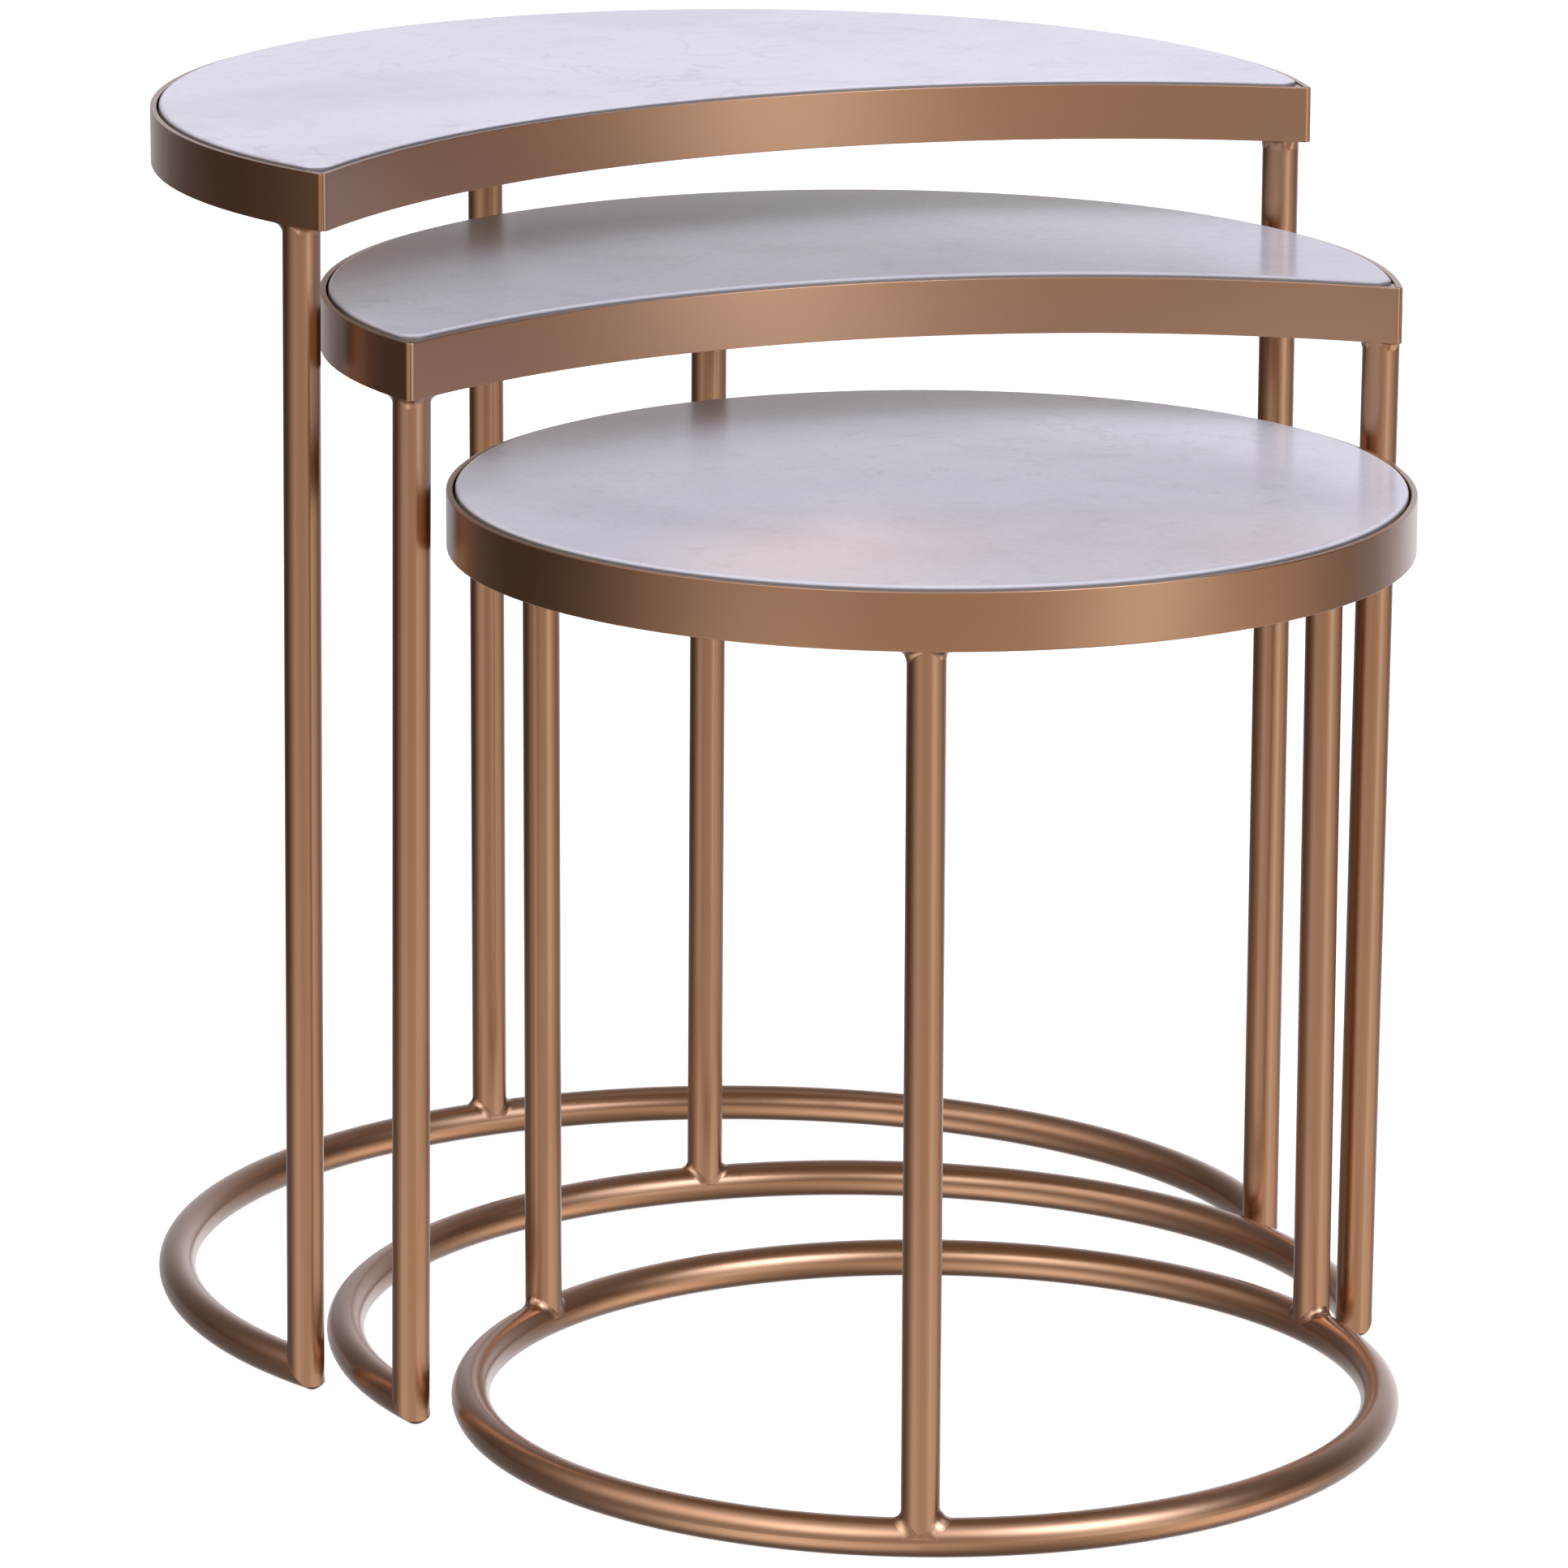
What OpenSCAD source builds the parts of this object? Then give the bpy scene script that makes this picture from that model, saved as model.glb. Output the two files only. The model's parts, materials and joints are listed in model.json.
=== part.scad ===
// Set of three nesting tables: a small round one that slides under a middle
// crescent one, which slides under a large crescent one. Each table is a
// welded steel-tube frame on a ring or arc of tube, with a flat-bar band
// around a board and a stone top. Millimetres, +Z up, floor at z = 0, origin
// on the floor under the middle of the whole set as it stands pulled out.

/* [Tops] */
// Outer radius of the small round top, band included
small_r = 200; // [196:1:202]
// Outer radius of the middle crescent top, band included
middle_r = 227.9; // [225:0.1:229]
// Outer radius of the large crescent top, band included
large_r = 252.3; // [251:0.1:254]
// Radius of the concave edge of the middle top
middle_cut_r = 346; // [330:1:400]
// Radius of the concave edge of the large top
large_cut_r = 363.4; // [350:0.5:420]
// How far the concave edges are set back past the middle of their tops
cut_back = 3.2; // [0:0.1:5]
// Rounding of the outside corner where the two bands of a crescent meet
tip_round = 2.5; // [2:0.5:6]

/* [Heights] */
// Height of the small table, top of the stone
small_h = 400; // [380:1:410]
// Height of the middle table, top of the stone
middle_h = 466; // [450:1:480]
// Height of the large table, top of the stone
large_h = 528; // [515:1:560]
// How far the stone stands above the band
stone_proud = 1.5; // [0.5:0.5:2.5]
// Height of the band
band_h = 24; // [22:1:30]
// Thickness of the band
band_t = 2.8; // [2.4:0.2:3.2]
// Thickness of the stone
stone_t = 12.5; // [10:0.5:14]
// Radius of the rounded upper edge of the stone
stone_edge_r = 2; // [1:0.5:3]
// Gap between the stone and the band
stone_gap = 0.8; // [0.5:0.1:1.2]

/* [Frames] */
// Outer radius of the middle table's arc on the floor
middle_base_r = 227; // [226:0.5:229]
// Outer radius of the large table's arc on the floor
large_base_r = 253.5; // [252:0.5:255]
// Outside diameter of the tube in the floor rings
ring_tube_d = 16; // [15:0.5:17]
// Outside diameter of the tube in the legs, a little under the ring's
leg_tube_d = 15.8; // [14:0.2:15.8]
// Wall of the tubes
tube_wall = 1.5; // [1:0.1:2]
// Angle from the opening's axis to the foot of each tip leg
tip_leg_angle = 75.5; // [75:0.5:80]
// The same angle at the top of the middle table's tip legs
middle_tip_top_angle = 74.4; // [74:0.1:78]
// The same angle at the top of the large table's tip legs
large_tip_top_angle = 75.5; // [75:0.1:78]
// Angle of the foot of the large table's back leg
large_back_foot_angle = 179.4; // [178:0.1:182]
// How far the welded middle top stands to the right of its base
middle_lean_x = 2; // [-3:0.1:3]
// How far the welded middle top stands behind its base
middle_lean_y = -0.8; // [-3:0.1:3]
// How far the welded large top stands to the right of its base
large_lean_x = 2.1; // [-3:0.1:3]
// How far the welded large top stands behind its base
large_lean_y = -1; // [-3:0.1:3]
// Bearing of the small table's front leg
small_leg_bearing = -91.4; // [-110:0.1:-70]

/* [Layout] */
// Bearing the middle table's opening faces
middle_bearing = -72.6; // [-80:0.1:-65]
// Bearing the large table's opening faces
large_bearing = -61.6; // [-70:0.1:-55]
// How far the small table is pulled out of the middle one
small_pull = 102; // [90:1:110]
// How far the middle table is pulled out of the large one
middle_pull = 111; // [100:1:120]

/* [Hidden] */
$fn = 96;

// Plate under the board at each leg, and the screws up through it
pad_t = 3;
pad_w = 38;
pad_d = 28;
screw_r = 1.9;
screw_clear_r = 2.15;
screw_head_r = 3.6;
screw_head_h = 2.2;
board_t = band_h + stone_proud - stone_t - pad_t;
board_gap = 0.6;
// Rounding of the stone's points, and the radius that follows it on the board
nose_r = 8;
web_t = 5;
web_gap = 0.4;
web_drop = 0.5;

ring_r = ring_tube_d / 2;
leg_r = leg_tube_d / 2;
corner_r = 10;

function unit(v) = v / norm(v);
function dir(a) = [cos(a), sin(a)];
function rot2(v, a) = [v[0] * cos(a) - v[1] * sin(a), v[0] * sin(a) + v[1] * cos(a)];

// Centres of the tables' bases, small one first at the layout's own zero
c_small = [0, 0];
c_middle = c_small - small_pull * dir(middle_bearing);
c_large = c_middle - middle_pull * dir(large_bearing);
// Middle of the whole set's box, which is put at the origin
box_mid = [(c_large[0] - large_base_r + c_small[0] + small_r) / 2,
           (c_large[1] + large_base_r + c_small[1] - small_r) / 2];

BRONZE = [0.60, 0.46, 0.35];
STONE = [0.87, 0.86, 0.90];
BOARD = [0.55, 0.45, 0.35];
SCREW = [0.68, 0.68, 0.66];

// ---- Places -------------------------------------------------------------
// A crescent top is drawn with its centre at zero and its opening along +X,
// and so is its base with the legs; the small table is drawn with its front
// leg along +X. Each welded top stands a little off the centre of its base.
large_lean = [large_lean_x, large_lean_y];
middle_lean = [middle_lean_x, middle_lean_y];
module at_large_base() { translate([c_large[0] - box_mid[0], c_large[1] - box_mid[1], 0]) rotate(large_bearing) children(); }
module at_middle_base() { translate([c_middle[0] - box_mid[0], c_middle[1] - box_mid[1], 0]) rotate(middle_bearing) children(); }
module at_large() { translate([large_lean[0], large_lean[1], 0]) at_large_base() children(); }
module at_middle() { translate([middle_lean[0], middle_lean[1], 0]) at_middle_base() children(); }
module at_small() { translate([c_small[0] - box_mid[0], c_small[1] - box_mid[1], 0]) rotate(small_leg_bearing) children(); }

// ---- Crescent outline ---------------------------------------------------
// The outline is a disc of radius R less a disc of radius r0 whose centre is
// a little under r0 away, so the concave edge passes just behind the centre.
// e moves both edges inwards. k is a point's depth below both edges near a
// tip.
function cut_x(r0) = r0 - cut_back;
function tip_x(R, r0, e) = (pow(R - e, 2) - pow(r0 + e, 2) + pow(cut_x(r0), 2)) / (2 * cut_x(r0));
function tip(R, r0, e, s) = let (x = tip_x(R, r0, e)) [x, s * sqrt(pow(R - e, 2) - x * x)];
function nose(R, r0, e, k, s) = tip(R, r0, e + k, s);

module sharp_crescent(R, r0, e) {
  difference() {
    circle(R - e);
    translate([cut_x(r0), 0]) circle(r0 + e);
  }
}

// Corner region beyond the centre of the rounding
module nose_wedge(R, r0, e, k, s) {
  c = nose(R, r0, e, k, s);
  u = unit(c);
  v = unit([cut_x(r0), 0] - c);
  l = k * 2.4;
  polygon([c, c + l * u, c + l * (u + v), c + l * v]);
}
// What rounding the point takes away: a circle a little over k in radius
// meets both edges at a shallow angle
ROUND = 1.006;
module nose_cut(R, r0, e, k, s) {
  difference() {
    nose_wedge(R, r0, e, k, s);
    translate(nose(R, r0, e, k, s)) circle(k * ROUND);
  }
}
module crescent(R, r0, e, k) {
  difference() {
    sharp_crescent(R, r0, e);
    for (s = [-1, 1]) nose_cut(R, r0, e, k, s);
  }
}

// One side of the mitre between the two bars at a point: i = 1 is the
// concave side, i = -1 is the outer side
module mitre_side(R, r0, t, s, i) {
  a = tip(R, r0, 0, s);
  b = unit(a - tip(R, r0, t, s));
  n = s * i * rot2(b, -90);
  polygon([a + 15 * b, a - 25 * b, a - 25 * b + 30 * n, a + 15 * b + 30 * n]);
}

// Flat bar bent round the outside, mitred and ground round at both points
module outer_band2(R, r0, t, k) {
  difference() {
    circle(R);
    circle(R - t);
    translate([cut_x(r0), 0]) circle(r0);
    for (s = [-1, 1]) {
      mitre_side(R, r0, t, s, 1);
      nose_cut(R, r0, 0, k, s);
    }
  }
}

// Flat bar bent the other way along the concave edge
module inner_band2(R, r0, t, k) {
  difference() {
    intersection() {
      translate([cut_x(r0), 0]) circle(r0 + t);
      circle(R);
    }
    translate([cut_x(r0), 0]) circle(r0);
    for (s = [-1, 1]) {
      mitre_side(R, r0, t, s, -1);
      nose_cut(R, r0, 0, k, s);
    }
  }
}

module outer_band(R, r0, h) {
  color(BRONZE) translate([0, 0, h - stone_proud - band_h]) linear_extrude(band_h) outer_band2(R, r0, band_t, tip_round);
}
module inner_band(R, r0, h) {
  color(BRONZE) translate([0, 0, h - stone_proud - band_h]) linear_extrude(band_h) inner_band2(R, r0, band_t, tip_round);
}

// Small plate that closes the corner beyond the stone's rounded point
module tip_web(R, r0, h, s) {
  e = band_t + stone_gap;
  c = nose(R, r0, e, nose_r, s);
  b = unit(unit(c) + unit([cut_x(r0), 0] - c));
  $fn = 240;
  color(BRONZE) translate([0, 0, h - stone_proud - web_drop - web_t]) linear_extrude(web_t) difference() {
    intersection() {
      sharp_crescent(R, r0, band_t);
      polygon([c, c + 60 * rot2(b, -34), c + 60 * rot2(b, 34)]);
    }
    translate(c) circle(nose_r + web_gap);
  }
}

// Section of a stone edge of outside radius a, with its top edge rounded
module edge_section(a, t, w) {
  square([a, t - w]);
  square([a - w, t]);
  translate([a - w, t - w]) intersection() { circle(w); square(w); }
}
// Section of what is taken away along the concave edge, up to radius a
module cut_section(a, t, w) {
  difference() {
    translate([0, -1]) square([a + w, t + 2]);
    translate([a, -2]) square([w + 1, t - w + 2]);
    translate([a + w, t - w]) circle(w);
  }
}
// Section of what is taken away outside a rounded point of radius a
module point_section(a, t, w) {
  translate([a, -1]) square([3 * a, t + 2]);
  difference() {
    translate([a - w, t - w]) square([w, w + 1]);
    translate([a - w, t - w]) circle(w);
  }
}

module crescent_stone(R, r0, h) {
  e = band_t + stone_gap;
  w = stone_edge_r;
  color(STONE) translate([0, 0, h - stone_t]) difference() {
    rotate_extrude() edge_section(R - e, stone_t, w);
    translate([cut_x(r0), 0, 0]) rotate(115) rotate_extrude(angle = 130) cut_section(r0 + e, stone_t, w);
    for (s = [-1, 1]) intersection() {
      translate([0, 0, -0.5]) linear_extrude(stone_t + 1) nose_wedge(R, r0, e, nose_r, s);
      translate(nose(R, r0, e, nose_r, s)) rotate_extrude() point_section(nose_r * ROUND, stone_t, w);
    }
  }
}

// ---- Plates and screws --------------------------------------------------
// Where a leg's plate takes its two screws, from the leg's own bearing
// p is 0 for a leg with its plate on both sides of it, and 1 or -1 at a
// point, where the plate lies to the side away from the point
function pad_screws(R, p) = p == 0 ? [[R - 22, -12], [R - 22, 12]] : [[R - 22, 13 * p], [R - 22, 25 * p]];

module pad_blank(R, a, p) {
  rotate(a) translate([R - band_t - pad_d, -pad_w / 2 + 7 * p]) square([pad_d + 10, pad_w]);
}
module screw_holes2(R, legs, r) {
  for (g = legs) rotate(g[0]) for (q = pad_screws(R, g[1])) translate(q) circle(r);
}
LARGE_LEGS = [[-large_tip_top_angle, -1], [large_tip_top_angle, 1], [180, 0]];
MIDDLE_LEGS = [[-middle_tip_top_angle, -1], [middle_tip_top_angle, 1], [180, 0]];
SMALL_LEGS = [[0, 0], [120, 0], [240, 0]];
TAB_SCREWS = [[-18, -10], [-18, 10]];
module tab_holes2(r) { for (p = TAB_SCREWS) translate(p) circle(r); }

module crescent_pad(R, r0, h, g) {
  color(BRONZE) translate([0, 0, h - stone_proud - band_h]) linear_extrude(pad_t) difference() {
    intersection() {
      sharp_crescent(R, r0, band_t);
      pad_blank(R, g[0], g[1]);
    }
    screw_holes2(R, [g], screw_clear_r);
  }
}
module inner_tab(R, r0, h) {
  color(BRONZE) translate([0, 0, h - stone_proud - band_h]) linear_extrude(pad_t) difference() {
    translate([-28, -18]) square([36, 36]);
    translate([cut_x(r0), 0]) circle(r0 + band_t);
    tab_holes2(screw_clear_r);
  }
}
module crescent_board(R, r0, h, legs) {
  color(BOARD) translate([0, 0, h - stone_t - board_t]) difference() {
    linear_extrude(board_t) crescent(R, r0, band_t + board_gap, nose_r);
    translate([0, 0, -1]) linear_extrude(8.5) {
      screw_holes2(R, legs, screw_r);
      tab_holes2(screw_r);
    }
  }
}
module one_screw() {
  translate([0, 0, -screw_head_h]) cylinder(r = screw_head_r, h = screw_head_h);
  cylinder(r = screw_r, h = pad_t + 7.5);
}
module pad_screw_set(R, h, legs) {
  for (g = legs) rotate(g[0]) for (q = pad_screws(R, g[1])) translate([q[0], q[1], h - stone_proud - band_h]) one_screw();
}
module crescent_screws(R, h, legs) {
  color(SCREW) {
    pad_screw_set(R, h, legs);
    for (p = TAB_SCREWS) translate([p[0], p[1], h - stone_proud - band_h]) one_screw();
  }
}

// ---- Tube frames --------------------------------------------------------
// Everything on one side of the 45 degree mitre, drawn at a tip leg with
// +X outward from the table and +Y past the end of the arc
module mitre_above() {
  rotate([90, 0, 90]) linear_extrude(60, center = true)
    polygon([[ring_r - 44, 44], [ring_r + 22, -22], [ring_r + 60, -22], [ring_r + 60, 44]]);
}
module mitre_below() {
  rotate([90, 0, 90]) linear_extrude(60, center = true)
    polygon([[ring_r - 24, 24], [ring_r + 12, -12], [ring_r - 24, -12]]);
}
// What is ground off the outside of the mitred corner
module corner_trim() {
  difference() {
    translate([-12, 0, -4]) cube([24, 12, 4 + ring_r]);
    translate([0, 0, ring_r]) sphere(r = corner_r);
  }
}

module base_arc(R) {
  over = 4;
  color(BRONZE) difference() {
    rotate(tip_leg_angle - over) rotate_extrude(angle = 360 - 2 * (tip_leg_angle - over))
      translate([R - ring_r, ring_r]) difference() { circle(ring_r); circle(ring_r - tube_wall); }
    rotate(-tip_leg_angle) translate([R - ring_r, 0, 0]) { mitre_above(); corner_trim(); }
    rotate(tip_leg_angle) translate([R - ring_r, 0, 0]) rotate(180) {
      mirror([1, 0, 0]) mitre_above();
      mirror([1, 0, 0]) corner_trim();
    }
  }
}
module base_ring(R) {
  color(BRONZE) rotate_extrude()
    translate([R - ring_r, ring_r]) difference() { circle(ring_r); circle(ring_r - tube_wall); }
}

// Straight tube between heights z0 and z1, from the point f on the base to the
// point g under the top, h above the floor
module tube(f, g, h, z0, z1) {
  d = g - f;
  n = norm(d);
  difference() {
    translate([f[0], f[1], ring_r]) rotate(a = n > 0 ? atan(n / (h - ring_r)) : 0, v = n > 0 ? [-d[1], d[0], 0] : [0, 0, 1])
      translate([0, 0, -ring_r]) difference() {
        translate([0, 0, z0 - 2]) cylinder(r = leg_r, h = z1 - z0 + 4);
        translate([0, 0, z0 - 3]) cylinder(r = leg_r - tube_wall, h = z1 - z0 + 6);
      }
    translate([f[0] - 30, f[1] - 30, z0 - 20]) cube([60, 60, 20]);
    translate([g[0] - 30, g[1] - 30, z1]) cube([60, 60, 20]);
  }
}

// Leg at a crescent's point: down to the floor and mitred into the arc's end.
// Rb is the base's radius, R and top_a the top's radius and the leg's angle
// there, and lean the top's offset from the base, in the table's own frame.
module tip_leg(Rb, R, h, top_a, lean, s) {
  z = h - stone_proud - band_h;
  f = (Rb - ring_r) * dir(s * tip_leg_angle);
  color(BRONZE) difference() {
    tube(f, lean + (R - ring_r) * dir(s * top_a), z, 0, z);
    translate(f) rotate(s * tip_leg_angle + (s > 0 ? 180 : 0)) mirror([s > 0 ? 1 : 0, 0, 0]) {
      mitre_below();
      corner_trim();
    }
  }
}

// Leg that stands on a ring or arc at angle a, its foot shaped to the tube
// under it
module coped_leg(Rb, R, h, a, top_a, lean) {
  z = h - stone_proud - band_h;
  color(BRONZE) difference() {
    tube((Rb - ring_r) * dir(a), lean + (R - ring_r) * dir(top_a), z, ring_r, z);
    rotate(a - 6) rotate_extrude(angle = 12) translate([Rb - ring_r, ring_r]) circle(ring_r);
  }
}

// ---- Large table --------------------------------------------------------
module large_outer_band() { at_large() outer_band(large_r, large_cut_r, large_h); }
module large_inner_band() { at_large() inner_band(large_r, large_cut_r, large_h); }
module large_tip_web_left() { at_large() tip_web(large_r, large_cut_r, large_h, -1); }
module large_tip_web_right() { at_large() tip_web(large_r, large_cut_r, large_h, 1); }
module large_marble_top() { at_large() crescent_stone(large_r, large_cut_r, large_h); }
module large_backer_board() { at_large() crescent_board(large_r, large_cut_r, large_h, LARGE_LEGS); }
module large_leg_pad_left() { at_large() crescent_pad(large_r, large_cut_r, large_h, LARGE_LEGS[0]); }
module large_leg_pad_right() { at_large() crescent_pad(large_r, large_cut_r, large_h, LARGE_LEGS[1]); }
module large_leg_pad_back() { at_large() crescent_pad(large_r, large_cut_r, large_h, LARGE_LEGS[2]); }
module large_inner_tab() { at_large() inner_tab(large_r, large_cut_r, large_h); }
module large_board_screws() { at_large() crescent_screws(large_r, large_h, LARGE_LEGS); }
module large_base_arc() { at_large_base() base_arc(large_base_r); }
module large_leg_left() { at_large_base() tip_leg(large_base_r, large_r, large_h, large_tip_top_angle, rot2(large_lean, -large_bearing), -1); }
module large_leg_right() { at_large_base() tip_leg(large_base_r, large_r, large_h, large_tip_top_angle, rot2(large_lean, -large_bearing), 1); }
module large_leg_back() { at_large_base() coped_leg(large_base_r, large_r, large_h, large_back_foot_angle, 180, rot2(large_lean, -large_bearing)); }

// ---- Middle table -------------------------------------------------------
module middle_outer_band() { at_middle() outer_band(middle_r, middle_cut_r, middle_h); }
module middle_inner_band() { at_middle() inner_band(middle_r, middle_cut_r, middle_h); }
module middle_tip_web_left() { at_middle() tip_web(middle_r, middle_cut_r, middle_h, -1); }
module middle_tip_web_right() { at_middle() tip_web(middle_r, middle_cut_r, middle_h, 1); }
module middle_marble_top() { at_middle() crescent_stone(middle_r, middle_cut_r, middle_h); }
module middle_backer_board() { at_middle() crescent_board(middle_r, middle_cut_r, middle_h, MIDDLE_LEGS); }
module middle_leg_pad_left() { at_middle() crescent_pad(middle_r, middle_cut_r, middle_h, MIDDLE_LEGS[0]); }
module middle_leg_pad_right() { at_middle() crescent_pad(middle_r, middle_cut_r, middle_h, MIDDLE_LEGS[1]); }
module middle_leg_pad_back() { at_middle() crescent_pad(middle_r, middle_cut_r, middle_h, MIDDLE_LEGS[2]); }
module middle_inner_tab() { at_middle() inner_tab(middle_r, middle_cut_r, middle_h); }
module middle_board_screws() { at_middle() crescent_screws(middle_r, middle_h, MIDDLE_LEGS); }
module middle_base_arc() { at_middle_base() base_arc(middle_base_r); }
module middle_leg_left() { at_middle_base() tip_leg(middle_base_r, middle_r, middle_h, middle_tip_top_angle, rot2(middle_lean, -middle_bearing), -1); }
module middle_leg_right() { at_middle_base() tip_leg(middle_base_r, middle_r, middle_h, middle_tip_top_angle, rot2(middle_lean, -middle_bearing), 1); }
module middle_leg_back() { at_middle_base() coped_leg(middle_base_r, middle_r, middle_h, 180, 180, rot2(middle_lean, -middle_bearing)); }

// ---- Small table --------------------------------------------------------
module small_band() {
  at_small() color(BRONZE) translate([0, 0, small_h - stone_proud - band_h]) linear_extrude(band_h) difference() {
    circle(small_r);
    circle(small_r - band_t);
  }
}
module small_marble_top() {
  at_small() color(STONE) translate([0, 0, small_h - stone_t]) rotate_extrude()
    edge_section(small_r - band_t - stone_gap, stone_t, stone_edge_r);
}
module small_backer_board() {
  at_small() color(BOARD) translate([0, 0, small_h - stone_t - board_t]) difference() {
    linear_extrude(board_t) circle(small_r - band_t - board_gap);
    translate([0, 0, -1]) linear_extrude(8.5) screw_holes2(small_r, SMALL_LEGS, screw_r);
  }
}
module small_pad(g) {
  at_small() color(BRONZE) translate([0, 0, small_h - stone_proud - band_h]) linear_extrude(pad_t) difference() {
    intersection() {
      circle(small_r - band_t);
      pad_blank(small_r, g[0], g[1]);
    }
    screw_holes2(small_r, [g], screw_clear_r);
  }
}
module small_leg_pad_front() { small_pad(SMALL_LEGS[0]); }
module small_leg_pad_right() { small_pad(SMALL_LEGS[1]); }
module small_leg_pad_left() { small_pad(SMALL_LEGS[2]); }
module small_board_screws() { at_small() color(SCREW) pad_screw_set(small_r, small_h, SMALL_LEGS); }
module small_base_ring() { at_small() base_ring(small_r); }
module small_leg_front() { at_small() coped_leg(small_r, small_r, small_h, SMALL_LEGS[0][0], SMALL_LEGS[0][0], [0, 0]); }
module small_leg_right() { at_small() coped_leg(small_r, small_r, small_h, SMALL_LEGS[1][0], SMALL_LEGS[1][0], [0, 0]); }
module small_leg_left() { at_small() coped_leg(small_r, small_r, small_h, SMALL_LEGS[2][0], SMALL_LEGS[2][0], [0, 0]); }

large_outer_band();
large_inner_band();
large_tip_web_left();
large_tip_web_right();
large_marble_top();
large_backer_board();
large_leg_pad_left();
large_leg_pad_right();
large_leg_pad_back();
large_inner_tab();
large_board_screws();
large_base_arc();
large_leg_left();
large_leg_right();
large_leg_back();
middle_outer_band();
middle_inner_band();
middle_tip_web_left();
middle_tip_web_right();
middle_marble_top();
middle_backer_board();
middle_leg_pad_left();
middle_leg_pad_right();
middle_leg_pad_back();
middle_inner_tab();
middle_board_screws();
middle_base_arc();
middle_leg_left();
middle_leg_right();
middle_leg_back();
small_band();
small_marble_top();
small_backer_board();
small_leg_pad_front();
small_leg_pad_right();
small_leg_pad_left();
small_board_screws();
small_base_ring();
small_leg_front();
small_leg_right();
small_leg_left();
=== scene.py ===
import bpy, bmesh, json, math
from mathutils import Vector, Matrix, noise, geometry


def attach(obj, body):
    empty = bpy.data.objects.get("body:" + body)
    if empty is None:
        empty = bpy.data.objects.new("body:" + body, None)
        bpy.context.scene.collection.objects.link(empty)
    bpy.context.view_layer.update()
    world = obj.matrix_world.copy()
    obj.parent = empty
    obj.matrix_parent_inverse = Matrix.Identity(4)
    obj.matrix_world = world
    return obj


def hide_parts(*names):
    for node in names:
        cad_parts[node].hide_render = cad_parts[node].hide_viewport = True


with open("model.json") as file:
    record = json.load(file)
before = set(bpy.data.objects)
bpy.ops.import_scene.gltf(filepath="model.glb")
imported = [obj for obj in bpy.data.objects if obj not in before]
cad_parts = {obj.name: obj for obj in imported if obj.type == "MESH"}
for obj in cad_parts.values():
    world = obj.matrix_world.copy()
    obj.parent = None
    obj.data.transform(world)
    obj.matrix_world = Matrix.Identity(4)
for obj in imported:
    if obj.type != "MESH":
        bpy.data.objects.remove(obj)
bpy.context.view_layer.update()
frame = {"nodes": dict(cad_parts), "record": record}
scene = bpy.context.scene
scene.view_settings.view_transform = "Standard"
scene.view_settings.look = "None"
MM = 0.001


# ---------------------------------------------------------------- node helpers
class Tree:
    def __init__(self, tree):
        self.t, self.n, self.l = tree, tree.nodes, tree.links
        self.n.clear()

    def add(self, kind, inputs=None, **props):
        node = self.n.new(kind)
        for k, v in props.items():
            setattr(node, k, v)
        for k, v in (inputs or {}).items():
            self.put(node.inputs[k], v)
        return node

    def put(self, socket, v):
        if isinstance(v, bpy.types.NodeSocket):
            self.l.new(v, socket)
        elif isinstance(v, bpy.types.Node):
            self.l.new(v.outputs[0], socket)
        else:
            socket.default_value = v

    def math(self, op, *args, clamp=False):
        node = self.n.new("ShaderNodeMath")
        node.operation, node.use_clamp = op, clamp
        for i, a in enumerate(args):
            self.put(node.inputs[i], a)
        return node.outputs[0]

    def vec(self, op, *args):
        node = self.n.new("ShaderNodeVectorMath")
        node.operation = op
        for i, a in enumerate(args):
            self.put(node.inputs[i], a)
        return node.outputs[1] if op in ("DOT_PRODUCT", "LENGTH") else node.outputs[0]

    def scale(self, v, s):
        node = self.n.new("ShaderNodeVectorMath")
        node.operation = "SCALE"
        self.put(node.inputs[0], v)
        self.put(node.inputs["Scale"], s)
        return node.outputs[0]

    def ramp(self, fac, stops, interp="LINEAR"):
        node = self.n.new("ShaderNodeValToRGB")
        cr = node.color_ramp
        cr.interpolation = interp
        while len(cr.elements) > 1:
            cr.elements.remove(cr.elements[-1])
        for i, (p, c) in enumerate(stops):
            e = cr.elements[0] if i == 0 else cr.elements.new(p)
            e.position = p
            e.color = (c, c, c, 1) if isinstance(c, (int, float)) else (*c, 1)
        self.put(node.inputs[0], fac)
        return node.outputs[0]

    def mix(self, fac, a, b, blend="MIX"):
        node = self.n.new("ShaderNodeMix")
        node.data_type, node.blend_type = "RGBA", blend
        self.put(node.inputs[0], fac)
        for s, v in ((node.inputs[6], a), (node.inputs[7], b)):
            self.put(s, (*v, 1) if isinstance(v, tuple) and len(v) == 3 else v)
        return node.outputs[2]

    def noise(self, vector, scale, detail=2.0, rough=0.5, distort=0.0):
        return self.add("ShaderNodeTexNoise", {"Vector": vector, "Scale": scale, "Detail": detail, "Roughness": rough, "Distortion": distort}).outputs[0]


def material(name):
    m = bpy.data.materials.new(name)
    m.use_nodes = True
    return m, Tree(m.node_tree)


# ---------------------------------------------------------------- materials
BRONZE_F0 = (0.436, 0.235, 0.125)
BRONZE_ROUGH = 0.295


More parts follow.
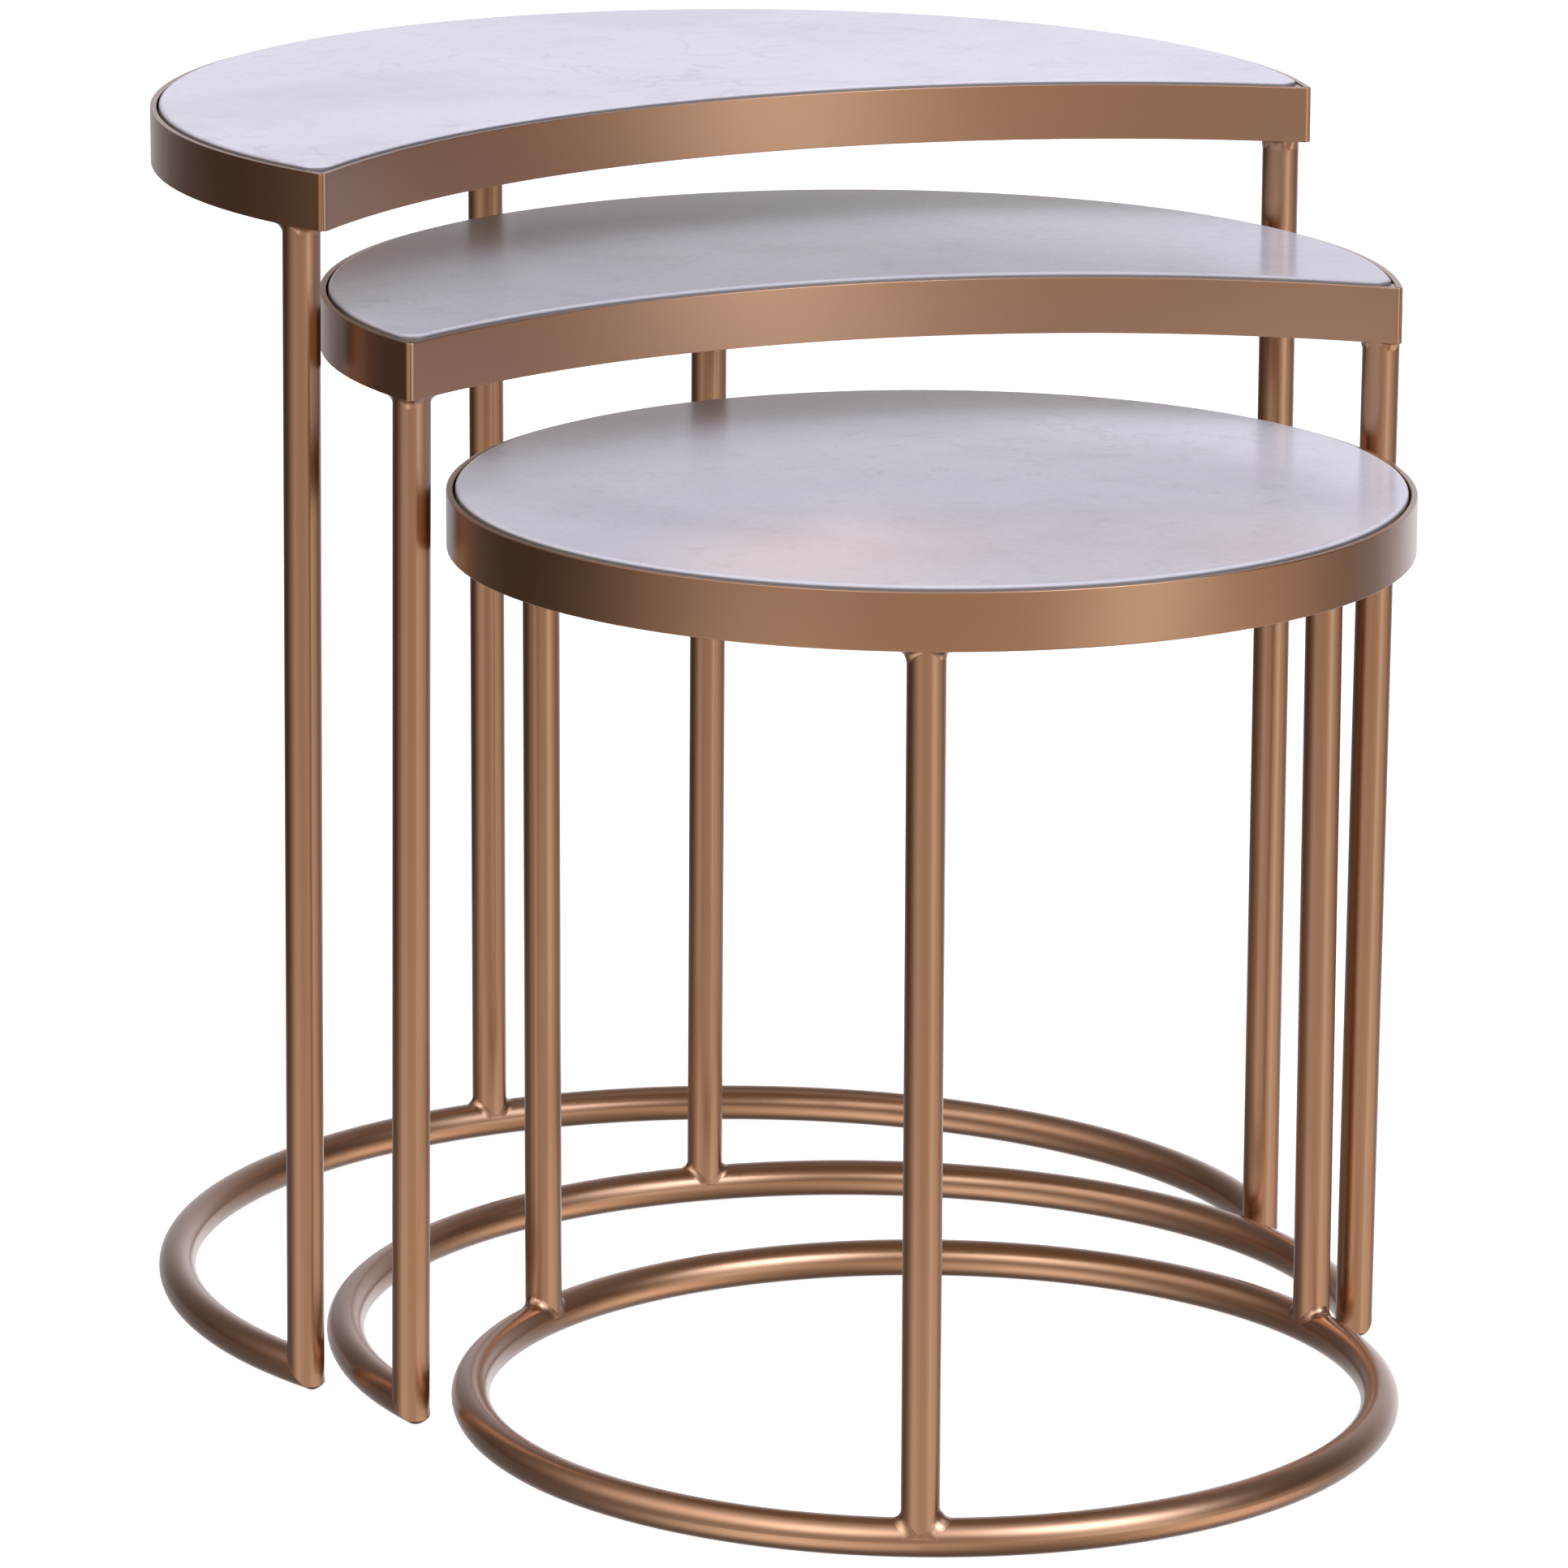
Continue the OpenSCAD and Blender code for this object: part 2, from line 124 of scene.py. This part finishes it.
def bronze(name="bronze_paint", rough=BRONZE_ROUGH, f0=BRONZE_F0):
    m, t = material(name)
    co = t.add("ShaderNodeTexCoord").outputs["Object"]
    flake = t.noise(co, 1500.0, 2.0, 0.6)
    mott = t.noise(co, 28.0, 3.0, 0.55)
    dust = t.noise(co, 320.0, 2.0, 0.5)
    shade = t.ramp(flake, [(0.32, 0.985), (0.68, 1.0)])
    tone = t.ramp(mott, [(0.25, tuple(0.965 * v for v in f0)), (0.75, f0)])
    col = t.mix(1.0, tone, shade, "MULTIPLY")
    r = t.math("ADD", t.math("MULTIPLY_ADD", mott, 0.02, rough - 0.01), t.math("MULTIPLY_ADD", dust, 0.008, -0.004))
    peel = t.noise(co, 420.0, 1.0, 0.4)
    bump = t.add("ShaderNodeBump", {"Strength": 0.06, "Distance": 0.00002, "Height": peel})
    b = t.add("ShaderNodeBsdfPrincipled", {"Base Color": col, "Metallic": 1.0, "Roughness": r, "Normal": bump,
                                           "Coat Weight": 1.0, "Coat Roughness": 0.23, "Coat IOR": 1.5, "IOR": 1.5})
    t.add("ShaderNodeOutputMaterial", {"Surface": b.outputs[0]})
    return m


def marble(name, painted_light_tint):
    m, t = material(name)
    co = t.add("ShaderNodeTexCoord").outputs["Object"]
    warp = t.add("ShaderNodeTexNoise", {"Vector": co, "Scale": 7.0, "Detail": 3.0, "Roughness": 0.55}).outputs[1]
    wv = t.vec("ADD", co, t.scale(t.vec("SUBTRACT", warp, (0.5, 0.5, 0.5)), 0.09))
    cloud = t.noise(wv, 9.0, 5.0, 0.6)
    grain = t.noise(co, 260.0, 3.0, 0.65)
    level = t.add("ShaderNodeSeparateXYZ", {0: t.add("ShaderNodeTexCoord").outputs["Normal"]}).outputs[2]
    # painted shade: the slab's rounded rim and side wall are darkened by how far they tilt from level, standing in for
    # the shade on them and in the gap to the band; the same mask also roughens the rim
    painted_rim_shade = t.ramp(level, [(0.48, 1.0), (0.66, 0.42), (0.85, 0.22), (0.995, 0.0)])
    vein = t.noise(wv, 13.0, 4.0, 0.6)
    thin = t.math("ABSOLUTE", t.math("SUBTRACT", vein, 0.5))
    gate = t.ramp(t.noise(co, 6.5, 2.0, 0.5), [(0.50, 0.0), (0.66, 1.0)])
    line = t.math("MULTIPLY", t.ramp(thin, [(0.0, 1.0), (0.018, 0.0)]), gate)
    fleck = t.ramp(t.noise(wv, 60.0, 4.0, 0.65), [(0.58, 0.0), (0.74, 1.0)])
    tones = ((0.32, (0.690, 0.668, 0.724)), (0.50, (0.752, 0.733, 0.789)), (0.68, (0.786, 0.768, 0.820)))
    # painted light and shade: the stone's tones are scaled per slab, lighter or darker to stand in for how much light
    # each top gets
    base = t.ramp(cloud, [(at, tuple(painted_light_tint * v for v in tone)) for at, tone in tones])
    base = t.mix(t.math("MULTIPLY", line, 0.34), base, (0.43, 0.42, 0.46))
    base = t.mix(t.math("MULTIPLY", fleck, 0.30), base, (0.45, 0.42, 0.44))
    base = t.mix(0.085, base, t.ramp(grain, [(0.35, 0.35), (0.65, 1.0)]), "MULTIPLY")
    # painted shade: the tilted rim and side wall are mixed towards dark brown-grey
    base = t.mix(painted_rim_shade, base, (0.15, 0.13, 0.12))
    r = t.math("ADD", t.math("MULTIPLY_ADD", cloud, 0.05, 0.145), t.math("MULTIPLY", painted_rim_shade, 0.30))
    bump = t.add("ShaderNodeBump", {"Strength": 0.05, "Distance": 0.00005, "Height": grain})
    b = t.add("ShaderNodeBsdfPrincipled", {"Base Color": base, "Metallic": 0.0, "Roughness": r, "Normal": bump, "IOR": 1.5})
    t.add("ShaderNodeOutputMaterial", {"Surface": b.outputs[0]})
    return m


def board_material():
    m, t = material("fibreboard")
    co = t.add("ShaderNodeTexCoord").outputs["Object"]
    fib = t.noise(co, 900.0, 4.0, 0.7, 0.4)
    pat = t.noise(co, 40.0, 3.0, 0.5)
    col = t.ramp(fib, [(0.25, (0.150, 0.100, 0.060)), (0.55, (0.245, 0.175, 0.110)), (0.80, (0.330, 0.245, 0.160))])
    col = t.mix(0.35, col, t.ramp(pat, [(0.3, 0.75), (0.7, 1.0)]), "MULTIPLY")
    bump = t.add("ShaderNodeBump", {"Strength": 0.3, "Distance": 0.0001, "Height": fib})
    b = t.add("ShaderNodeBsdfPrincipled", {"Base Color": col, "Roughness": 0.78, "Normal": bump})
    t.add("ShaderNodeOutputMaterial", {"Surface": b.outputs[0]})
    return m


def zinc_material():
    m, t = material("zinc_screw")
    co = t.add("ShaderNodeTexCoord").outputs["Object"]
    scr = t.noise(co, 1800.0, 2.0, 0.6)
    col = t.ramp(scr, [(0.3, (0.50, 0.50, 0.49)), (0.7, (0.62, 0.62, 0.60))])
    r = t.math("MULTIPLY_ADD", scr, 0.15, 0.26)
    b = t.add("ShaderNodeBsdfPrincipled", {"Base Color": col, "Metallic": 1.0, "Roughness": r})
    t.add("ShaderNodeOutputMaterial", {"Surface": b.outputs[0]})
    return m


MATS = {"bronze": bronze(), "stone": marble("pale_marble", 1.0), "board": board_material(), "screws": zinc_material()}
STONES = {  # each slab's stone is scaled lighter or darker: painted light and shade for how much light reaches each top
    "small_marble_top": marble("pale_marble_small", 0.94),
    "middle_marble_top": marble("pale_marble_middle", 0.80),
    "large_marble_top": marble("pale_marble_large", 1.03),
}
SLOTS = {s["node"]: s["material_slot"] for s in frame["record"]["subparts"]}
BODY = {n: b for b, ns in frame["record"]["behaviour"]["bodies"].items() for n in ns}
for name, ob in frame["nodes"].items():
    ob.data.materials.clear()
    ob.data.materials.append(STONES.get(name, MATS[SLOTS[name]]))


# ---------------------------------------------------------------- eased band edges
def shade(me, limit=32.0):
    for p in me.polygons:
        p.use_smooth = True
    me.set_sharp_from_angle(angle=math.radians(limit))


def even_normals(ob):
    """Keep the large faces flat in shading: the normals follow the largest face at each point."""
    weigh = ob.modifiers.new("weights", "WEIGHTED_NORMAL")
    weigh.mode, weigh.weight, weigh.keep_sharp = "FACE_AREA", 90, True
    flat = bpy.data.meshes.new_from_object(ob.evaluated_get(bpy.context.evaluated_depsgraph_get()))
    name = ob.data.name
    ob.modifiers.clear()
    ob.data.name = name + "_plain"
    flat.name = name
    ob.data = flat


def eased(node, width, segments=3):
    """The band with its long edges rounded, in place of the sharp-edged CAD bar."""
    me = frame["nodes"][node].data.copy()
    me.name = node + "_eased"
    ob = bpy.data.objects.new(node + "_eased", me)
    scene.collection.objects.link(ob)
    bm = bmesh.new()
    bm.from_mesh(me)
    bmesh.ops.remove_doubles(bm, verts=bm.verts, dist=2e-6)
    sharp = [e for e in bm.edges if len(e.link_faces) == 2 and e.calc_face_angle(0) > math.radians(40)]
    bmesh.ops.bevel(bm, geom=sharp, offset=width, offset_type="OFFSET", segments=segments, profile=0.5,
                    affect="EDGES", clamp_overlap=True)
    bmesh.ops.triangulate(bm, faces=[f for f in bm.faces if len(f.verts) > 4])
    bmesh.ops.recalc_face_normals(bm, faces=bm.faces)
    bm.to_mesh(me)
    bm.free()
    if me.attributes.get("custom_normal"):
        me.attributes.remove(me.attributes["custom_normal"])
    shade(me, 38.0)
    me.materials.clear()
    me.materials.append(MATS["bronze"])
    even_normals(ob)
    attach(ob, BODY[node])
    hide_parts(node)
    return ob


for node in ("small_band", "middle_outer_band", "middle_inner_band", "large_outer_band", "large_inner_band"):
    eased(node, 0.45 * MM)


# ---------------------------------------------------------------- stone slabs
def slab(node, radius, segments=8):
    """The stone with an even mesh on its rounded upper edge, from the outline of the CAD slab's underside."""
    me = frame["nodes"][node].data
    bottom, top = min(v.co.z for v in me.vertices), max(v.co.z for v in me.vertices)
    bm = bmesh.new()
    bm.from_mesh(me)
    bmesh.ops.remove_doubles(bm, verts=bm.verts, dist=2e-6)
    rim = [e for e in bm.edges if max(v.co.z for v in e.verts) < bottom + 1e-6 and len(e.link_faces) == 2
           and abs(e.link_faces[0].normal.z) + abs(e.link_faces[1].normal.z) < 1.5]
    nxt = {}
    for e in rim:
        a, b = e.verts
        nxt.setdefault(a, []).append(b)
        nxt.setdefault(b, []).append(a)
    start = rim[0].verts[0]
    loop, prev, at = [start], None, start
    while True:
        step = [v for v in nxt[at] if v is not prev]
        prev, at = at, step[0]
        if at is start:
            break
        loop.append(at)
    pts = [Vector((v.co.x, v.co.y)) for v in loop]
    bm.free()
    assert len(pts) == len(rim), node
    n = len(pts)
    area = sum(pts[i].x * pts[(i + 1) % n].y - pts[(i + 1) % n].x * pts[i].y for i in range(n)) / 2
    if area < 0:
        pts.reverse()
    normals = []
    for i in range(n):
        a, b = (pts[i] - pts[i - 1]).normalized(), (pts[(i + 1) % n] - pts[i]).normalized()
        m = (a + b).normalized()
        normals.append(Vector((m.y, -m.x)))
    levels = [(0.0, bottom)]
    for k in range(segments + 1):
        turn = math.pi / 2 * k / segments
        levels.append((radius * (1 - math.cos(turn)), top - radius * (1 - math.sin(turn))))
    verts = [(*(p - q * inset), z) for inset, z in levels for p, q in zip(pts, normals)]
    faces = []
    for k in range(len(levels) - 1):
        for i in range(n):
            j = (i + 1) % n
            faces.append((k * n + i, k * n + j, (k + 1) * n + j, (k + 1) * n + i))
    for first, flip in ((0, True), ((len(levels) - 1) * n, False)):
        flat = [Vector(verts[first + i]) for i in range(n)]
        for tri in geometry.tessellate_polygon([flat]):
            a, b, c = (flat[i] for i in tri)
            up = (b - a).cross(c - a).z > 0
            tri = tuple(first + i for i in tri)
            faces.append(tri if up != flip else tri[::-1])
    out = bpy.data.meshes.new(node + "_slab")
    out.from_pydata(verts, [], faces)
    out.validate()
    ob = bpy.data.objects.new(node + "_slab", out)
    scene.collection.objects.link(ob)
    shade(out, 50.0)
    out.materials.append(STONES[node])
    even_normals(ob)
    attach(ob, BODY[node])
    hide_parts(node)
    return ob


for node in STONES:
    slab(node, 2.0 * MM)


# ---------------------------------------------------------------- weld fillets
TABLES = {  # base centre; top centre, radius, cut circle and height of the underside
    "small": dict(base=(0.068398, -0.124237), top=(0.068398, -0.124237), R=0.200, cut=None, under=0.3745),
    "middle": dict(base=(0.037896, -0.026904), top=(0.039896, -0.027704), R=0.2279, cut=(0.142408, -0.354824, 0.346), under=0.4405),
    "large": dict(base=(-0.014898, 0.070737), top=(-0.012798, 0.069737), R=0.2523, cut=(0.158567, -0.247200, 0.3635), under=0.5025),
}
for tab in TABLES.values():
    tab["base"], tab["c"] = Vector(tab["base"]), Vector(tab["top"])


def leg_ends(node):
    """Centres of a leg's foot and of its top, from its own mesh."""
    vs = [v.co for v in frame["nodes"][node].data.vertices]
    hi = max(v.z for v in vs)
    out = []
    for part in ([v for v in vs if v.z < 0.030], [v for v in vs if v.z > hi - 0.001]):
        out.append(Vector(((min(v.x for v in part) + max(v.x for v in part)) / 2, (min(v.y for v in part) + max(v.y for v in part)) / 2)))
    return out


LEG_R, RING_R = 7.9 * MM, 8.0 * MM


def inside(tab, p, m):
    if (p - tab["c"]).length > tab["R"] - m:
        return False
    if tab["cut"]:
        x, y, r = tab["cut"]
        if (p - Vector((x, y))).length < r + m:
            return False
    return True


def ring_mesh(name, rows, body):
    """A closed ring from rows of points, one row per angle; each row is a closed outline."""
    n, k = len(rows), len(rows[0])
    verts = [tuple(p) for row in rows for p in row]
    faces = []
    for i in range(n):
        for j in range(k):
            a, b = i * k + j, i * k + (j + 1) % k
            c, d = ((i + 1) % n) * k + (j + 1) % k, ((i + 1) % n) * k + j
            faces.append((a, b, c, d))
    me = bpy.data.meshes.new(name)
    me.from_pydata(verts, [], faces)
    ob = bpy.data.objects.new(name, me)
    scene.collection.objects.link(ob)
    bm = bmesh.new()
    bm.from_mesh(me)
    bmesh.ops.recalc_face_normals(bm, faces=bm.faces)
    bm.to_mesh(me)
    bm.free()
    shade(me, 60.0)
    me.materials.append(MATS["bronze"])
    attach(ob, body)
    return ob


def lump(p, seed, size):
    return noise.noise(Vector((p[0] / size + seed * 7.1, p[1] / size - seed * 3.7, p[2] / size + seed)))


def curve(a, c, b, steps):
    """A hollow curve from a to b that bends towards the corner c."""
    out = []
    for i in range(steps + 1):
        u = i / steps
        out.append(a * (1 - u) ** 2 + c * 2 * u * (1 - u) + b * u * u)
    return out


def top_weld(tname, leg, body, seed, wide=3.0, tall=4.0, extra=(), rough=0.16):
    """Weld round a leg's top, where it meets the underside of the band and its plate."""
    tab = TABLES[tname]
    axis, z = leg_ends(leg)[1], tab["under"]
    rows = []
    N = 72
    for i in range(N):
        th = 2 * math.pi * i / N
        d = Vector((math.cos(th), math.sin(th)))
        w, h = wide * MM, tall * MM
        for (at, spread, dw, dh) in extra:
            g = math.exp(-(((math.degrees(th) - at + 180) % 360 - 180) / spread) ** 2)
            w, h = w + dw * MM * g, h + dh * MM * g
        rip = 0.5 + 0.5 * math.sin(th * 17 + seed)
        w *= 0.95 + 0.10 * rip
        room = 0.0
        while room < w and inside(tab, axis + d * (LEG_R + room), 0.25 * MM):
            room += 0.1 * MM
        k = room / w if w > 0 else 0
        w2 = max(room, -0.2 * MM)
        h2 = h * (0.28 + 0.72 * k)
        a = Vector((*(axis + d * (LEG_R - 0.02 * MM)), z - h2))
        b = Vector((*(axis + d * (LEG_R + w2)), z + 0.05 * MM))
        cn = Vector((*(axis + d * (LEG_R + 0.10 * w2)), z - 0.14 * h2))
        pts = curve(a, cn, b, 7)
        for q in range(1, 7):
            e = rough * MM * lump(pts[q], seed, 2.6 * MM) * min(1, 0.35 + k)
            pts[q] = pts[q] + Vector((d.x * e, d.y * e, -e * 0.6))
        pts.append(Vector((*(axis + d * (LEG_R + w2 - 0.25 * MM)), z + 0.5 * MM)))
        pts.append(Vector((*(axis + d * (LEG_R - 0.8 * MM)), z + 0.5 * MM)))
        pts.append(Vector((*(axis + d * (LEG_R - 0.8 * MM)), z - h2 + 0.3 * MM)))
        rows.append(pts)
    return ring_mesh(leg + "_top_weld", rows, body)


def foot_weld(tname, leg, body, seed, wide=3.2, tall=3.6, extra=()):
    """Weld round a leg's foot, where it sits saddled on the floor tube."""
    tab = TABLES[tname]
    axis = leg_ends(leg)[0]
    out = (axis - tab["base"]).normalized()
    base = math.atan2(out.y, out.x)
    rr = (axis - tab["base"]).length

    def tube_top(p):
        off = (p - tab["base"]).length - rr
        return RING_R + math.sqrt(max(0.0, RING_R ** 2 - off * off))

    rows = []
    N = 72
    for i in range(N):
        th = base + 2 * math.pi * i / N
        d = Vector((math.cos(th), math.sin(th)))
        along = abs(math.sin(th - base))
        g = 0.54 + 0.46 * along ** 1.2
        w, h = wide * MM * g, tall * MM * (0.25 + 0.75 * g)
        bead = 0.0
        for (at, spread, dw, dh) in extra:
            e = math.exp(-(((math.degrees(th - base) - at + 180) % 360 - 180) / spread) ** 2)
            w, h = w + dw * MM * e * along, h + dh * MM * e
            bead = max(bead, e)
        rip = 0.5 + 0.5 * math.sin(th * 15 + seed)
        w *= 1.0 + (0.04 + 0.14 * bead) * (rip - 0.5)
        pa, pb = axis + d * LEG_R, axis + d * (LEG_R + w)
        off = (pb - tab["base"]).length - rr
        if abs(off) > RING_R - 0.15 * MM:
            k = (RING_R - 0.15 * MM) / abs(off)
            side = (pb - tab["base"]).normalized()
            pb = tab["base"] + side * (rr + off * k)
        za, zb = tube_top(pa), tube_top(pb)
        a = Vector((*pa, za + h)) - Vector((*(d * 0.02 * MM), 0))
        b = Vector((*pb, zb - 0.05 * MM))
        cn = Vector((*(axis + d * (LEG_R + 0.14 * w)), za + 0.12 * h))
        pts = curve(a, cn, b, 8)
        for q in range(1, 8):
            e = (0.13 + 0.24 * bead) * MM * lump(pts[q], seed, 2.4 * MM) * (0.35 + 0.65 * along)
            pts[q] = pts[q] + Vector((d.x * e, d.y * e, abs(e) * 0.7))
        pts.append(Vector((*pb, zb - 0.9 * MM)) - Vector((*(d * 0.4 * MM), 0)))
        pts.append(Vector((*(axis + d * (LEG_R - 0.9 * MM)), za - 0.9 * MM)))
        pts.append(Vector((*(axis + d * (LEG_R - 0.9 * MM)), za + h - 0.3 * MM)))
        rows.append(pts)
    return ring_mesh(leg + "_foot_weld", rows, body)


top_weld("small", "small_leg_front", "small_table", 1.3, 3.4, 3.8, extra=((180, 45, 2.0, 2.4),))
top_weld("small", "small_leg_right", "small_table", 2.1, 2.4, 3.0)
top_weld("small", "small_leg_left", "small_table", 3.7, 2.4, 3.0)
top_weld("middle", "middle_leg_left", "middle_table", 4.2, 2.6, 4.0, extra=((-20, 35, 2.6, 0.6), (200, 40, 1.8, 2.4)))
top_weld("middle", "middle_leg_right", "middle_table", 5.9, 2.0, 3.4, rough=0.5)
top_weld("middle", "middle_leg_back", "middle_table", 6.4, 2.2, 2.8)
top_weld("large", "large_leg_left", "large_table", 7.7, 2.4, 3.6, extra=((-10, 35, 1.8, 0.8), (200, 40, 1.6, 1.8)))
top_weld("large", "large_leg_right", "large_table", 8.5, 2.8, 5.2, extra=((-85, 16, 0.3, 1.6),), rough=0.6)
top_weld("large", "large_leg_back", "large_table", 9.2, 2.2, 2.8)
foot_weld("small", "small_leg_front", "small_table", 11.3, 3.4, 3.6, extra=((90, 30, 1.6, 1.8),))
foot_weld("small", "small_leg_right", "small_table", 12.8, 3.0, 3.2)
foot_weld("small", "small_leg_left", "small_table", 13.4, 3.0, 3.4, extra=((90, 32, 1.2, 1.2),))
foot_weld("middle", "middle_leg_back", "middle_table", 14.9, 3.0, 3.0)
foot_weld("large", "large_leg_back", "large_table", 15.6, 3.2, 3.4)

# ---------------------------------------------------------------- floor
bm = bmesh.new()
bmesh.ops.create_circle(bm, cap_ends=True, segments=96, radius=14.0)
me = bpy.data.meshes.new("floor")
bm.to_mesh(me)
bm.free()
floor = bpy.data.objects.new("floor", me)
scene.collection.objects.link(floor)
floor.location = (0, 0.5, -0.0004)
m, t = material("floor_white")
co = t.add("ShaderNodeTexCoord").outputs["Object"]
col = t.ramp(t.noise(co, 0.8, 1.0), [(0.0, 0.44), (1.0, 0.45)])
em = t.add("ShaderNodeEmission", {"Color": (1.0, 1.0, 1.0, 1), "Strength": 0.88})
df = t.add("ShaderNodeBsdfDiffuse", {"Color": col})
t.add("ShaderNodeOutputMaterial", {"Surface": t.add("ShaderNodeAddShader", {0: em.outputs[0], 1: df.outputs[0]}).outputs[0]})
me.materials.append(m)
floor.visible_glossy = False

# The patch of floor that the lower tubes mirror: seen in reflections only
bm = bmesh.new()
bmesh.ops.create_circle(bm, cap_ends=True, segments=64, radius=0.75)
me = bpy.data.meshes.new("floor_near")
bm.to_mesh(me)
bm.free()
near = bpy.data.objects.new("floor_near", me)
scene.collection.objects.link(near)
near.location = (0, 0, -0.0002)
m, t = material("floor_near_glow")
em = t.add("ShaderNodeEmission", {"Color": (0.09, 0.095, 0.10, 1), "Strength": 1.0})
through = t.add("ShaderNodeBsdfTransparent")
t.add("ShaderNodeOutputMaterial", {"Surface": t.add("ShaderNodeAddShader", {0: em.outputs[0], 1: through.outputs[0]}).outputs[0]})
me.materials.append(m)
near.visible_camera = near.visible_diffuse = near.visible_shadow = False

# ---------------------------------------------------------------- studio light
# Soft panels round the set, each a smooth pool of light: azimuth from the front (+ to the right), elevation, tightness,
# colour. Two softboxes in front, one high on the left, a pale ceiling, and the light that the white floor throws back.
PANELS = [
    (43, 37, 20.0, (6.7, 7.2, 8.5)),      # main softbox, front right
    (-25, 36, 17.0, (3.0, 3.15, 3.4)),    # second softbox, front left
    (-70, 38, 10.0, (1.4, 1.3, 1.3)),     # high on the left
    (0, 80, 4.0, (0.45, 0.45, 0.475)),   # ceiling
    (166, -4, 6.0, (0.92, 0.92, 1.0)),    # backdrop
    (50, -6, 20.0, (1.2, 1.28, 1.32)),    # foot of the main softbox
    (14, -20, 8.6, (0.633, 0.532, 0.441)),  # floor in front
    (-40, -40, 9.0, (1.6, 1.53, 1.5)),    # floor, left
    (86, -35, 13.5, (1.6, 1.36, 1.15)),   # floor, right
]
AMBIENT = (0.055, 0.036, 0.028)


def toward(az, el):
    a, e = math.radians(az), math.radians(el)
    return (math.sin(a) * math.cos(e), -math.cos(a) * math.cos(e), math.sin(e))


world = bpy.data.worlds.new("studio")
scene.world = world
world.use_nodes = True
t = Tree(world.node_tree)
way = t.vec("NORMALIZE", t.add("ShaderNodeTexCoord").outputs["Generated"])
total = AMBIENT
for az, el, tight, colour in PANELS:
    dot = t.vec("DOT_PRODUCT", way, toward(az, el))
    pool = t.math("EXPONENT", t.math("MULTIPLY_ADD", dot, tight, -tight))
    total = t.vec("ADD", t.scale(colour, pool), total)
bg = t.add("ShaderNodeBackground", {"Color": total, "Strength": 1.0})
t.add("ShaderNodeOutputWorld", {"Surface": bg.outputs[0]})

# ---------------------------------------------------------------- camera
cam = bpy.data.cameras.new("camera")
cam.sensor_width = 36.0
cam.lens = 200.365
cam.shift_x, cam.shift_y = 0.00037, -0.00088
cam.clip_start, cam.clip_end = 0.1, 100.0
cam_ob = bpy.data.objects.new("camera", cam)
scene.collection.objects.link(cam_ob)
pitch, roll = 0.242651, 0.003373
R0, U0 = Vector((1, 0, 0)), Vector((0, math.sin(pitch), math.cos(pitch)))
F0 = Vector((0, math.cos(pitch), -math.sin(pitch)))
rt = R0 * math.cos(roll) + U0 * math.sin(roll)
up = -R0 * math.sin(roll) + U0 * math.cos(roll)
rot = Matrix((rt, up, -F0)).transposed()
cam_ob.matrix_world = Matrix.Translation(Vector((0.007798, -3.644346, 1.143788))) @ rot.to_4x4()
scene.camera = cam_ob
